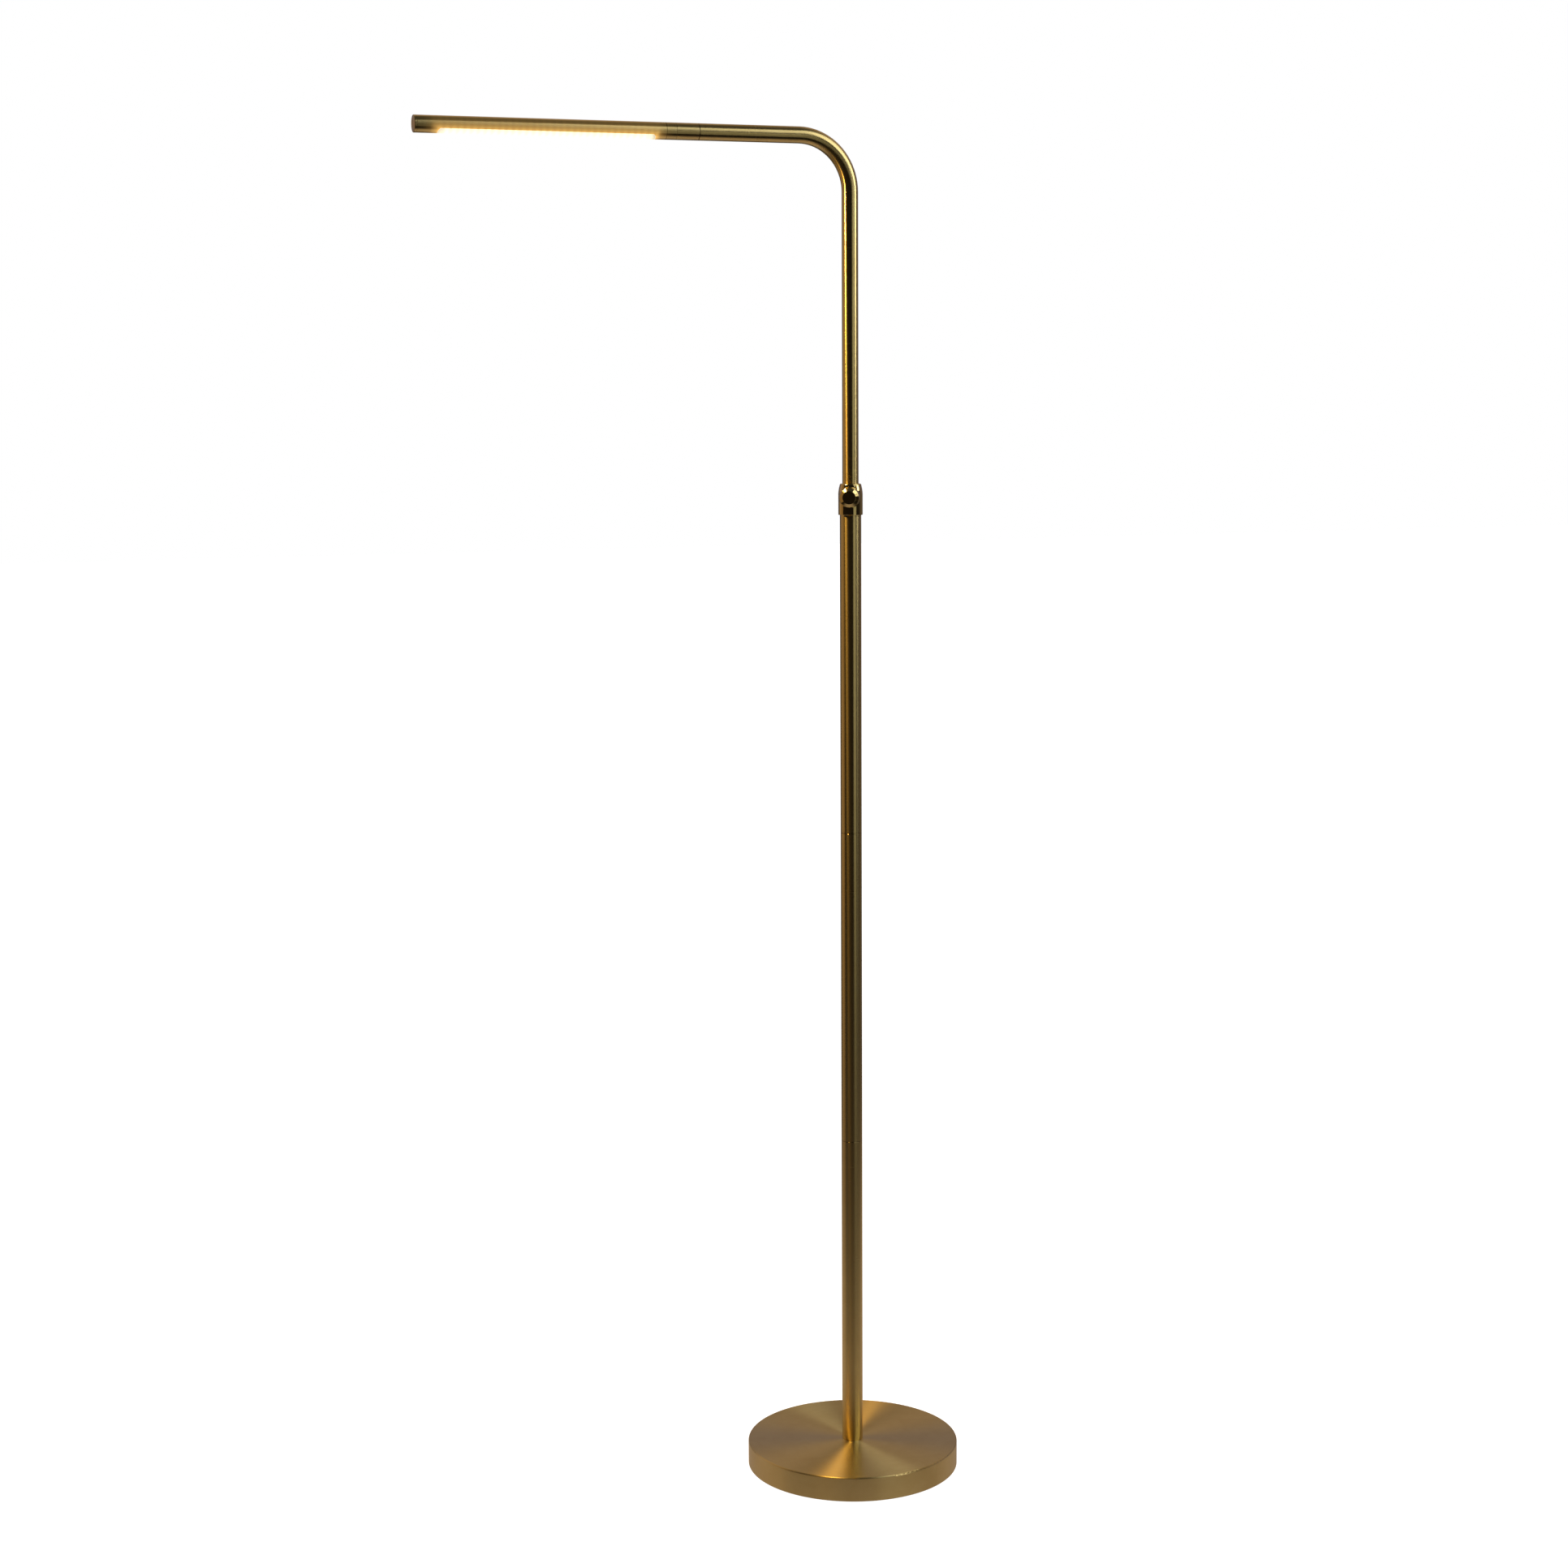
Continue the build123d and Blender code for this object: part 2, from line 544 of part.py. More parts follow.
def window_prism(inset):
    """The space under the cut in the head tube, drawn in by inset on every side."""
    length = WINDOW_END - WINDOW_START - 2 * inset
    top = -WINDOW_DROP - inset
    middle = (WINDOW_START + WINDOW_END) / 2
    prism = block(2 * TUBE_DIAMETER, TUBE_DIAMETER, length, 0, top - TUBE_DIAMETER / 2, middle - length / 2)
    corners = prism.edges().filter_by(Axis.X).group_by(Axis.Y)[-1]
    return fillet(corners, WINDOW_CORNER_RADIUS - inset)


def head_tube():
    tube = broken_ends(sleeve(TUBE_DIAMETER, TUBE_BORE, RING_END, HEAD_END))
    return ARM_FRAME.location * (tube - window_prism(0))


def diffuser():
    """An opal cover that fills the tube's cut-away, held by lips inside the tube."""
    bore = TUBE_BORE - 2 * DIFFUSER_WALL
    skin = sleeve(TUBE_DIAMETER, bore, WINDOW_START, WINDOW_END)
    skin = skin & window_prism(DIFFUSER_GAP)
    lip_start = WINDOW_START - DIFFUSER_LIP_OVERLAP
    lip_end = WINDOW_END + DIFFUSER_LIP_OVERLAP
    lips = sleeve(TUBE_BORE - 2 * DIFFUSER_GAP, bore, lip_start, lip_end)
    above_middle = DIFFUSER_LIP_RISE - WINDOW_DROP + TUBE_DIAMETER / 2
    above = block(TUBE_DIAMETER, TUBE_DIAMETER, lip_end - lip_start, 0, above_middle, lip_start)
    return ARM_FRAME.location * (skin + (lips - above))


def board_screw_places():
    """Distances along the arm of the screws that hold the board to the heat sink."""
    first = BOARD_START + CONNECTOR_LENGTH + BOARD_SCREW_HEAD
    last = BOARD_END - BOARD_SCREW_HEAD
    step = (last - first) / (BOARD_SCREW_COUNT - 1)
    return [first + step * index for index in range(BOARD_SCREW_COUNT)]


def screw_axis(distance):
    """A frame at a board screw, with local Z pointing up into the heat sink."""
    return Plane(origin=(-distance, 0, ARM_HEIGHT + BOARD_UNDERSIDE), x_dir=(1, 0, 0), z_dir=(0, 0, 1))


def screw_holes():
    depth = BOARD_THICKNESS + BOARD_SCREW_DEPTH
    hole = rod(BOARD_SCREW_DIAMETER, 0, depth)
    return [screw_axis(place).location * hole for place in board_screw_places()]


def heat_sink():
    """A half-round aluminium bar that fills the tube above the light board."""
    bar = rod(SINK_DIAMETER, BOARD_START, BOARD_END)
    below_middle = BOARD_TOP - TUBE_DIAMETER / 2
    below = block(TUBE_DIAMETER, TUBE_DIAMETER, BOARD_END - BOARD_START, 0, below_middle, BOARD_START)
    bar = ARM_FRAME.location * (bar - below)
    for hole in screw_holes():
        bar -= hole
    return bar


def led_board():
    middle = (BOARD_UNDERSIDE + BOARD_TOP) / 2
    board = block(BOARD_WIDTH, BOARD_THICKNESS, BOARD_END - BOARD_START, 0, middle, BOARD_START)
    board = ARM_FRAME.location * board
    for hole in screw_holes():
        board -= hole
    return board


def led_chips():
    """A row of light-emitting chips, spaced over the window's length and clear of the screws."""
    first = WINDOW_START + CHIP_SIZE
    step = (WINDOW_LENGTH - 2 * CHIP_SIZE) / (CHIP_PLACES - 1)
    clear = (BOARD_SCREW_HEAD + CHIP_SIZE) / 2 + DROP_IN_GAP
    middle = BOARD_UNDERSIDE - CHIP_HEIGHT / 2
    chips = []
    for index in range(CHIP_PLACES):
        place = first + step * index
        nearest = min(abs(place - screw) for screw in board_screw_places())
        if nearest > clear:
            chip = block(CHIP_SIZE, CHIP_HEIGHT, CHIP_SIZE, 0, middle, place - CHIP_SIZE / 2)
            chips.append(ARM_FRAME.location * chip)
    return Compound(children=chips)


def board_screws():
    screws = []
    for place in board_screw_places():
        shank = rod(BOARD_SCREW_DIAMETER, 0, BOARD_THICKNESS + BOARD_SCREW_DEPTH)
        head = rod(BOARD_SCREW_HEAD, -BOARD_SCREW_HEAD_HEIGHT, 0)
        screws.append(screw_axis(place).location * (shank + head))
    return Compound(children=screws)


def board_connector():
    """The plug-in block under the board's near end that the head's lead runs into."""
    middle = BOARD_UNDERSIDE - CONNECTOR_DROP / 2
    body = block(CONNECTOR_WIDTH, CONNECTOR_DROP, CONNECTOR_LENGTH, 0, middle, BOARD_START)
    return ARM_FRAME.location * body


def end_cap():
    disc = rod(TUBE_DIAMETER, HEAD_END, HEAD_END + END_CAP_THICKNESS)
    disc = fillet(disc.edges().group_by(Axis.Z)[-1], END_CAP_EDGE)
    disc = chamfer(disc.edges().group_by(Axis.Z)[0], EDGE_BREAK)
    return ARM_FRAME.location * (disc + rod(TUBE_BORE, HEAD_END - END_CAP_SPIGOT, HEAD_END))


# Internal leads


def pole_lead():
    """From the terminal block along the base's channel, and up through the nipple."""
    path = FilletPolyline(
        (0, BLOCK_NEAR_END, LEAD_HEIGHT_IN_BASE), (0, 0, LEAD_HEIGHT_IN_BASE), (0, 0, COIL_FOOT),
        radius=LEAD_BASE_BEND,
    )
    return swept_tube(path, LEAD_DIAMETER, 0)


def coiled_lead():
    """The outer shape of the curly lead that takes up the tube's travel."""
    return rod(COIL_DIAMETER, COIL_FOOT, LEAD_BUSH_BOTTOM)


def arm_lead():
    """From the lead bush up the bent tube and out to the end of the spindle."""
    return swept_tube(arm_path(LEAD_BUSH_BOTTOM, LEAD_JOIN), LEAD_DIAMETER, 0)


def head_lead():
    return ARM_FRAME.location * rod(LEAD_DIAMETER, LEAD_JOIN, BOARD_START)


def all_parts():
    return {
        "base_cover": base_cover(),
        "base_weight": base_weight(),
        "base_pad": base_pad(),
        "base_nipple": base_nipple(),
        "base_washer": base_washer(),
        "base_nut": base_nut(),
        "cord_grommet": cord_grommet(),
        "terminal_block": terminal_block(),
        "pole_foot_plug": pole_foot_plug(),
        "pole_lower": pole_section(0),
        "pole_middle": pole_section(1),
        "pole_upper": pole_section(2),
        "coupler_lower": pole_coupler(0),
        "coupler_upper": pole_coupler(1),
        "clamp_collar": clamp_collar(),
        "guide_bush": guide_bush(),
        "clamp_shoe": clamp_shoe(),
        "clamp_screw": clamp_screw(),
        "clamp_knob": clamp_knob(),
        "slide_bush": slide_bush(),
        "retaining_rings": retaining_rings(),
        "arm_tube": arm_tube(),
        "lead_bush": lead_bush(),
        "swivel_plug": swivel_plug(),
        "swivel_stop_pin": swivel_stop_pin(),
        "swivel_washer": swivel_washer(),
        "swivel_ring": swivel_ring(),
        "spring_washer": spring_washer(),
        "swivel_nut": swivel_nut(),
        "head_tube": head_tube(),
        "diffuser": diffuser(),
        "heat_sink": heat_sink(),
        "led_board": led_board(),
        "led_chips": led_chips(),
        "board_screws": board_screws(),
        "board_connector": board_connector(),
        "end_cap": end_cap(),
        "pole_lead": pole_lead(),
        "coiled_lead": coiled_lead(),
        "arm_lead": arm_lead(),
        "head_lead": head_lead(),
    }


os.makedirs("parts", exist_ok=True)
for name, shape in all_parts().items():
    export_step(shape, f"parts/{name}.step")
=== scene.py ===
import json
from math import cos, pi, radians, sin

import bpy
from mathutils import Matrix, Vector


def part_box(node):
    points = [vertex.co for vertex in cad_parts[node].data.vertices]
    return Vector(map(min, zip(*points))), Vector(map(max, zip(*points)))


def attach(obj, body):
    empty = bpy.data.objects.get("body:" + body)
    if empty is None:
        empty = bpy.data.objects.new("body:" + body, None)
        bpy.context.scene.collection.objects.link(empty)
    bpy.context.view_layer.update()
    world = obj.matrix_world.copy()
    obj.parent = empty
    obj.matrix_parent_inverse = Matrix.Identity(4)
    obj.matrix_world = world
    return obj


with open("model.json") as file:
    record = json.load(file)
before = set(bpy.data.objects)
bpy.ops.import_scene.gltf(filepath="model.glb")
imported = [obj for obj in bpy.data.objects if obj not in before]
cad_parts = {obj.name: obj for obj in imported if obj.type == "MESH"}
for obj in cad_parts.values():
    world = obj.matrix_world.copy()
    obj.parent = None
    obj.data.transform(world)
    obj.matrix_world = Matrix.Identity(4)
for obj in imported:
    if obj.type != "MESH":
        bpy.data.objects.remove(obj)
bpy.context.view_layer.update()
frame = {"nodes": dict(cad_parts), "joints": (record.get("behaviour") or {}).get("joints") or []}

# ---------------------------------------------------------------- places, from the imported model

JOINT_AXIS = {joint["name"]: Vector(joint["axis"]) for joint in frame["joints"]}
UP = Vector((0, 0, 1))
ARM_LINE = JOINT_AXIS["head_swivel"]
KNOB_LINE = JOINT_AXIS["knob_turn"]
POLE_FOOT = Vector((0, 0, 0))

arm_low, arm_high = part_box("arm_tube")
TUBE_RADIUS = (arm_high[1] - arm_low[1]) / 2
ARM_CENTRE = Vector((0, 0, arm_high[2] - TUBE_RADIUS))
BEND_RADIUS = 0.062

knob_low, knob_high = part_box("clamp_knob")
KNOB_CENTRE = Vector((0, 0, (knob_low[2] + knob_high[2]) / 2))

POLE_SEAMS = [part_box(name)[0][2] for name in ("pole_middle", "pole_upper")]
ARM_SEAMS = [corner[0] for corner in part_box("swivel_ring")]
WINDOW_CUT_BELOW_AXIS = 0.00475
WINDOW_NEAR = -0.2332
WINDOW_FAR = -0.4800
WINDOW_CUT = ARM_CENTRE.z - WINDOW_CUT_BELOW_AXIS
CHIP_PITCH = 0.0077
FIBRE_PITCH = 0.0007
DIE_LINES_ALONG = 6.0
DIE_LINES_ACROSS = 2400.0

# The room is laid out as the camera sees it: behind the lamp, and to its right.
CAMERA_HEADING = 0.3488
CAMERA_TILT = radians(8.04)
CAMERA_ROLL = -0.0057
CAMERA_PLACE = (-1.1576, -2.9515, 1.2838)
CAMERA_LENS_MM = 62.3
CAMERA_SENSOR_MM = 36.0
CAMERA_NEAR = 0.05
CAMERA_FAR = 200.0
BEHIND = (sin(CAMERA_HEADING), cos(CAMERA_HEADING))
TO_RIGHT = (cos(CAMERA_HEADING), -sin(CAMERA_HEADING))

FLOOR_SIZE = 40.0
FLOOR_GAP = 0.0002
GLOW_SIZE = 4.0
GLOW_GAP = 0.0010
GLOW_BEHIND = 0.55
GLOW_NEAR = 0.5
GLOW_FAR = 1.4

# ---------------------------------------------------------------- colours

BRASS_CLEAN = (0.82, 0.665, 0.30)
BRASS_DARK = (0.70, 0.53, 0.205)
BRASS_WORN = (0.92, 0.78, 0.42)
SEAM_DIRT = (0.10, 0.065, 0.025)
LIGHT_WARM = (1.0, 0.60, 0.17)
OPAL_GLOW = (1.0, 0.90, 0.66)
# the colour of the painted glow that the head's brass emits round the window's cut
PAINTED_LEAK_GLOW = (0.80, 0.44, 0.11)
FLOOR_GLOW = (1.0, 0.78, 0.66)

# ---------------------------------------------------------------- levels of light

OPAL_LEVEL = 1.6
OPAL_RIPPLE = 0.08
OPAL_END_FADE = 0.010
# how far the painted glow on the head's brass reaches from the window's cut, and how much it ripples
# with the chips
PAINTED_GLOW_REACH = 0.0042
PAINTED_GLOW_RIPPLE = 0.10
PHOSPHOR_LEVEL = 2.0
WINDOW_LIGHT_LEVEL = 560.0
WINDOW_LIGHT_WIDTH = 1.4 * TUBE_RADIUS
WINDOW_LIGHT_GAP = 0.0002
FLOOR_GLOW_LEVEL = 0.31
PAPER_LEVEL = 1.02

# ---------------------------------------------------------------- brass

BRUSH_DRIFT = 14.0
SEAM_DARK_WITHIN = 0.0002
SEAM_CLEAN_BEYOND = 0.0006
SEAM_DIRT_COVER = 0.6
WORN_COVER = 0.7
ROUGHER_IN_MARKS = 0.02
ROUGHER_IN_TARNISH = 0.015
ROUGHER_IN_BANDS = 0.01
SMOOTHER_WHERE_RUBBED = -0.08
ACROSS_THE_TANGENT = 0.25


# ---------------------------------------------------------------- node helpers

def new_material(name):
    """A material with an empty shader and its output."""
    material = bpy.data.materials.new(name)
    material.use_nodes = True
    tree = material.node_tree
    tree.nodes.clear()
    output = tree.nodes.new("ShaderNodeOutputMaterial")
    shader = tree.nodes.new("ShaderNodeBsdfPrincipled")
    tree.links.new(shader.outputs["BSDF"], output.inputs["Surface"])
    return material, tree, shader


def put(tree, socket, value):
    """Links a socket or sets a plain value."""
    if isinstance(value, bpy.types.NodeSocket):
        tree.links.new(value, socket)
    else:
        socket.default_value = value


def calc(tree, operation, first, second=0.0, third=0.0, clamp=False):
    """One math node."""
    node = tree.nodes.new("ShaderNodeMath")
    node.operation = operation
    node.use_clamp = clamp
    for socket, value in zip(node.inputs, (first, second, third)):
        put(tree, socket, value)
    return node.outputs[0]


def vector(tree, operation, first, second=(0, 0, 0), scale=1.0):
    """One vector math node. Gives its value where it has one."""
    node = tree.nodes.new("ShaderNodeVectorMath")
    node.operation = operation
    put(tree, node.inputs[0], first)
    put(tree, node.inputs[1], second)
    put(tree, node.inputs[3], scale)
    return node.outputs[1 if operation in ("LENGTH", "DOT_PRODUCT") else 0]


def spread(tree, value, low, high, to_low=0.0, to_high=1.0, smooth=False):
    """Maps a value from one range to another and holds it at the ends."""
    node = tree.nodes.new("ShaderNodeMapRange")
    node.interpolation_type = "SMOOTHSTEP" if smooth else "LINEAR"
    for socket, item in zip(node.inputs, (value, low, high, to_low, to_high)):
        put(tree, socket, item)
    return node.outputs[0]


def mix(tree, factor, first, second):
    """Mixes two colours."""
    node = tree.nodes.new("ShaderNodeMix")
    node.data_type = "RGBA"
    put(tree, node.inputs["Factor"], factor)
    for socket, item in ((node.inputs[6], first), (node.inputs[7], second)):
        put(tree, socket, (*item, 1) if isinstance(item, tuple) else item)
    return node.outputs[2]


def noise(tree, where, scale, detail=2.0, roughness=0.5, distortion=0.0):
    """A noise texture's value, from 0 to 1."""
    node = tree.nodes.new("ShaderNodeTexNoise")
    put(tree, node.inputs["Vector"], where)
    put(tree, node.inputs["Scale"], scale)
    put(tree, node.inputs["Detail"], detail)
    put(tree, node.inputs["Roughness"], roughness)
    put(tree, node.inputs["Distortion"], distortion)
    return node.outputs[0]


def cells(tree, where, scale):
    """The distance to the nearest cell's centre."""
    node = tree.nodes.new("ShaderNodeTexVoronoi")
    node.feature = "F1"
    put(tree, node.inputs["Vector"], where)
    put(tree, node.inputs["Scale"], scale)
    return node.outputs["Distance"]


def place(tree):
    """The point on the object, in metres, in the frame at rest."""
    return tree.nodes.new("ShaderNodeTexCoord").outputs["Object"]


def parts(tree, where):
    """The three coordinates of a vector."""
    node = tree.nodes.new("ShaderNodeSeparateXYZ")
    put(tree, node.inputs[0], where)
    return node.outputs


def joined(tree, x=0.0, y=0.0, z=0.0):
    """A vector from three coordinates."""
    node = tree.nodes.new("ShaderNodeCombineXYZ")
    for socket, value in zip(node.inputs, (x, y, z)):
        put(tree, socket, value)
    return node.outputs[0]


def ripple(tree, along, pitch):
    """A wave along one coordinate, from -1 to 1."""
    return calc(tree, "COSINE", calc(tree, "MULTIPLY", along, 2 * pi / pitch))


def coat(tree, shader, drift, tones, marks, smoothest, rougher):
    """A base colour that drifts between two tones, and a roughness that follows the marks."""
    put(tree, shader.inputs["Base Color"], mix(tree, drift, *tones))
    put(tree, shader.inputs["Roughness"], calc(tree, "MULTIPLY_ADD", marks, rougher, smoothest))


def glow(material, tree, shader, colour, level):
    """Makes a surface shine without being sampled as a lamp."""
    shader.inputs["Emission Color"].default_value = (*colour, 1)
    put(tree, shader.inputs["Emission Strength"], level)
    material.cycles.emission_sampling = "NONE"


def bump(tree, shader, height, distance, strength):
    """A bump on the shader."""
    node = tree.nodes.new("ShaderNodeBump")
    put(tree, node.inputs["Height"], height)
    node.inputs["Distance"].default_value = distance
    node.inputs["Strength"].default_value = strength
    tree.links.new(node.outputs["Normal"], shader.inputs["Normal"])


def in_world(tree, direction):
    """A direction of the object as a direction of the world, so that it follows each pose."""
    node = tree.nodes.new("ShaderNodeVectorTransform")
    node.vector_type = "VECTOR"
    node.convert_from = "OBJECT"
    node.convert_to = "WORLD"
    put(tree, node.inputs[0], direction)
    return node.outputs[0]


def edge_wear(tree, radius, low, high):
    """1 on outside edges, where hands and cloths rub, and 0 on open faces."""
    rounded = tree.nodes.new("ShaderNodeBevel")
    rounded.samples = 4
    rounded.inputs["Radius"].default_value = radius
    geometry = tree.nodes.new("ShaderNodeNewGeometry")
    same = vector(tree, "DOT_PRODUCT", rounded.outputs[0], geometry.outputs["Normal"])
    return spread(tree, same, high, low, 0.0, 1.0, smooth=True)


# ---------------------------------------------------------------- brushed and turned metal

def straight_piece(tree, centre, axis):
    """Where the brush went on a piece turned about a straight axis.

    It gives a coordinate that steps from one brush line to the next, and the way round.
    """
    point = vector(tree, "SUBTRACT", place(tree), tuple(centre))
    along = vector(tree, "DOT_PRODUCT", point, tuple(axis))
    outwards = vector(tree, "SUBTRACT", point, vector(tree, "SCALE", tuple(axis), scale=along))
    line = calc(tree, "SUBTRACT", vector(tree, "LENGTH", outwards), along)
    around = vector(tree, "CROSS_PRODUCT", tuple(axis), outwards)
    return line, in_world(tree, vector(tree, "NORMALIZE", around))


def bent_piece(tree):
    """The same for the tube that rises, bends over and runs along the arm."""
    bend_top = ARM_CENTRE.z - BEND_RADIUS
    coordinates = tree.nodes.new("ShaderNodeTexCoord")
    x, y, z = parts(tree, coordinates.outputs["Object"])
    across = calc(tree, "MAXIMUM", calc(tree, "ADD", x, BEND_RADIUS), 1e-5)
    above = calc(tree, "MAXIMUM", calc(tree, "SUBTRACT", z, bend_top), 0.0)
    turned = calc(tree, "ARCTAN2", above, across)
    rise = calc(tree, "MINIMUM", z, bend_top)
    reach = calc(tree, "MAXIMUM", calc(tree, "SUBTRACT", -BEND_RADIUS, x), 0.0)
    line = calc(tree, "ADD", calc(tree, "MULTIPLY_ADD", turned, BEND_RADIUS, rise), reach)
    axis = joined(tree, calc(tree, "MULTIPLY", above, -1.0), 0.0, across)
    axis = vector(tree, "NORMALIZE", axis)
    around = vector(tree, "CROSS_PRODUCT", axis, coordinates.outputs["Normal"])
    return line, in_world(tree, vector(tree, "NORMALIZE", around))


def brushed(tree, line, fine, coarse):
    """Brush marks that run round a piece: a fine and a coarse set, each from 0 to 1."""
    drift = vector(tree, "SCALE", place(tree), scale=BRUSH_DRIFT)
    marks = []
    for pitch, detail in ((fine, 2.0), (coarse, 3.0)):
        stretched = joined(tree, z=calc(tree, "DIVIDE", line, pitch))
        point = vector(tree, "ADD", drift, stretched)
        marks.append(noise(tree, point, scale=1.0, detail=detail, roughness=0.6))
    return marks


def seam_dirt(tree, coordinate, seams):
    """1 on the hairlines where two lengths of tube meet, and 0 elsewhere."""
    dirt = 0.0
    for seam in seams:
        away = calc(tree, "ABSOLUTE", calc(tree, "SUBTRACT", coordinate, seam))
        near = spread(tree, away, SEAM_DARK_WITHIN, SEAM_CLEAN_BEYOND, 1.0, 0.0, smooth=True)
        dirt = calc(tree, "MAXIMUM", dirt, near)
    return dirt


def brass(
    name, way, roughness, anisotropy,
    fine=0.00045, coarse=0.006, depth=1.2e-6, patina=0.40, seam_axis=0, seams=(),
):
    """Brass with brush marks, drifts of tarnish, rubbed edges and dirt in its seams.

    way says where the brush went. fine and coarse are the pitches of its marks, and depth is how
    deep they go. The seams are places along the axis with the number seam_axis.
    """
    material, tree, shader = new_material(name)
    line, around = way(tree)
    fine_marks, coarse_marks = brushed(tree, line, fine, coarse)
    cloud = noise(tree, place(tree), scale=22.0, detail=4.0, roughness=0.62, distortion=0.4)
    blotch = noise(tree, place(tree), scale=95.0, detail=3.0, roughness=0.55)
    stain = calc(tree, "MULTIPLY_ADD", blotch, 0.35, cloud)
    tarnish = spread(tree, stain, 0.50, 0.95, 0.0, patina, smooth=True)
    streak = spread(tree, coarse_marks, 0.35, 0.70, 0.0, 0.15)
    rubbed = edge_wear(tree, radius=0.0007, low=0.80, high=0.985)
    colour = mix(tree, tarnish, BRASS_CLEAN, BRASS_DARK)
    colour = mix(tree, streak, colour, mix(tree, 0.5, BRASS_CLEAN, BRASS_DARK))
    colour = mix(tree, calc(tree, "MULTIPLY", rubbed, WORN_COVER), colour, BRASS_WORN)
    if seams:
        dirt = seam_dirt(tree, parts(tree, place(tree))[seam_axis], seams)
        colour = mix(tree, calc(tree, "MULTIPLY", dirt, SEAM_DIRT_COVER), colour, SEAM_DIRT)
    put(tree, shader.inputs["Base Color"], colour)
    shader.inputs["Metallic"].default_value = 1.0
    shader.inputs["Anisotropic"].default_value = anisotropy
    shader.inputs["Anisotropic Rotation"].default_value = ACROSS_THE_TANGENT
    tree.links.new(around, shader.inputs["Tangent"])
    rough = calc(tree, "MULTIPLY_ADD", fine_marks, ROUGHER_IN_MARKS, roughness)
    rough = calc(tree, "MULTIPLY_ADD", tarnish, ROUGHER_IN_TARNISH, rough)
    rough = calc(tree, "MULTIPLY_ADD", coarse_marks, ROUGHER_IN_BANDS, rough)
    rough = calc(tree, "MULTIPLY_ADD", rubbed, SMOOTHER_WHERE_RUBBED, rough)
    put(tree, shader.inputs["Roughness"], rough)
    height = calc(tree, "MULTIPLY_ADD", coarse_marks, 0.15, fine_marks)
    bump(tree, shader, height, depth, 0.6)
    return material, tree, shader


def pole_way(tree):
    """Brushed round the pole's axis."""
    return straight_piece(tree, POLE_FOOT, UP)


def arm_way(tree):
    """Brushed round the arm's axis."""
    return straight_piece(tree, ARM_CENTRE, ARM_LINE)


def knob_way(tree):
    """Turned about the knob's axis."""
    return straight_piece(tree, KNOB_CENTRE, KNOB_LINE)


def pole_brass():
    """The pole's tubes, brushed round, with two seams."""
    return brass(
        "pole_brass", pole_way, roughness=0.25, anisotropy=0.94,
        seam_axis=2, seams=POLE_SEAMS,
    )[0]


def bent_tube_brass():
    """The tube that rises and bends over, brushed round all the way."""
    return brass(
        "bent_tube_brass", bent_piece, roughness=0.25, anisotropy=0.94,
        seam_axis=0, seams=ARM_SEAMS,
    )[0]


def spun_brass():
    """The base's cover, spun: its marks run in circles, which makes the fans of light."""
    return brass(
        "spun_brass", pole_way, roughness=0.345, anisotropy=0.94,
        fine=0.0006, coarse=0.004, depth=6e-6, patina=0.45,
    )[0]


def collar_brass():
    """The clamp collar, turned and polished."""
    return brass(
        "collar_brass", pole_way, roughness=0.09, anisotropy=0.40,
        fine=0.0003, coarse=0.002, depth=1.5e-6, patina=0.35,
    )[0]


def knob_brass():
    """The knob, turned about its own axis and polished a little less."""
    return brass(
        "knob_brass", knob_way, roughness=0.125, anisotropy=0.40,
        fine=0.0003, coarse=0.0015, depth=1.5e-6, patina=0.3,
    )[0]


def head_brass():
    """The head tube's brass, with a painted glow: the brass round the window's cut emits a warm light
    of its own, standing in for light that spills round the window's edge.
    """
    material, tree, shader = brass(
        "head_brass", arm_way, roughness=0.27, anisotropy=0.93,
        seam_axis=0, seams=ARM_SEAMS,
    )
    x, y, z = parts(tree, place(tree))
    # painted glow: the brass emits warm light near the cut, and it fades with distance from the
    # window's edges
    above_cut = calc(tree, "MAXIMUM", calc(tree, "SUBTRACT", z, WINDOW_CUT), 0.0)
    past_near = calc(tree, "MAXIMUM", calc(tree, "SUBTRACT", x, WINDOW_NEAR), 0.0)
    past_far = calc(tree, "MAXIMUM", calc(tree, "SUBTRACT", WINDOW_FAR, x), 0.0)
    away = vector(tree, "LENGTH", joined(tree, above_cut, past_near, past_far))
    fall = calc(tree, "EXPONENT", calc(tree, "DIVIDE", away, -PAINTED_GLOW_REACH))
    wave = ripple(tree, x, CHIP_PITCH)
    painted_glow = calc(tree, "MULTIPLY", fall, calc(tree, "MULTIPLY_ADD", wave, PAINTED_GLOW_RIPPLE, 1.0))
    glow(material, tree, shader, PAINTED_LEAK_GLOW, painted_glow)
    return material


def plain_head_brass():
    """The same brass away from the window."""
    return brass(
        "plain_head_brass", arm_way, roughness=0.27, anisotropy=0.93,
        seam_axis=0, seams=ARM_SEAMS,
    )[0]


# ---------------------------------------------------------------- the light

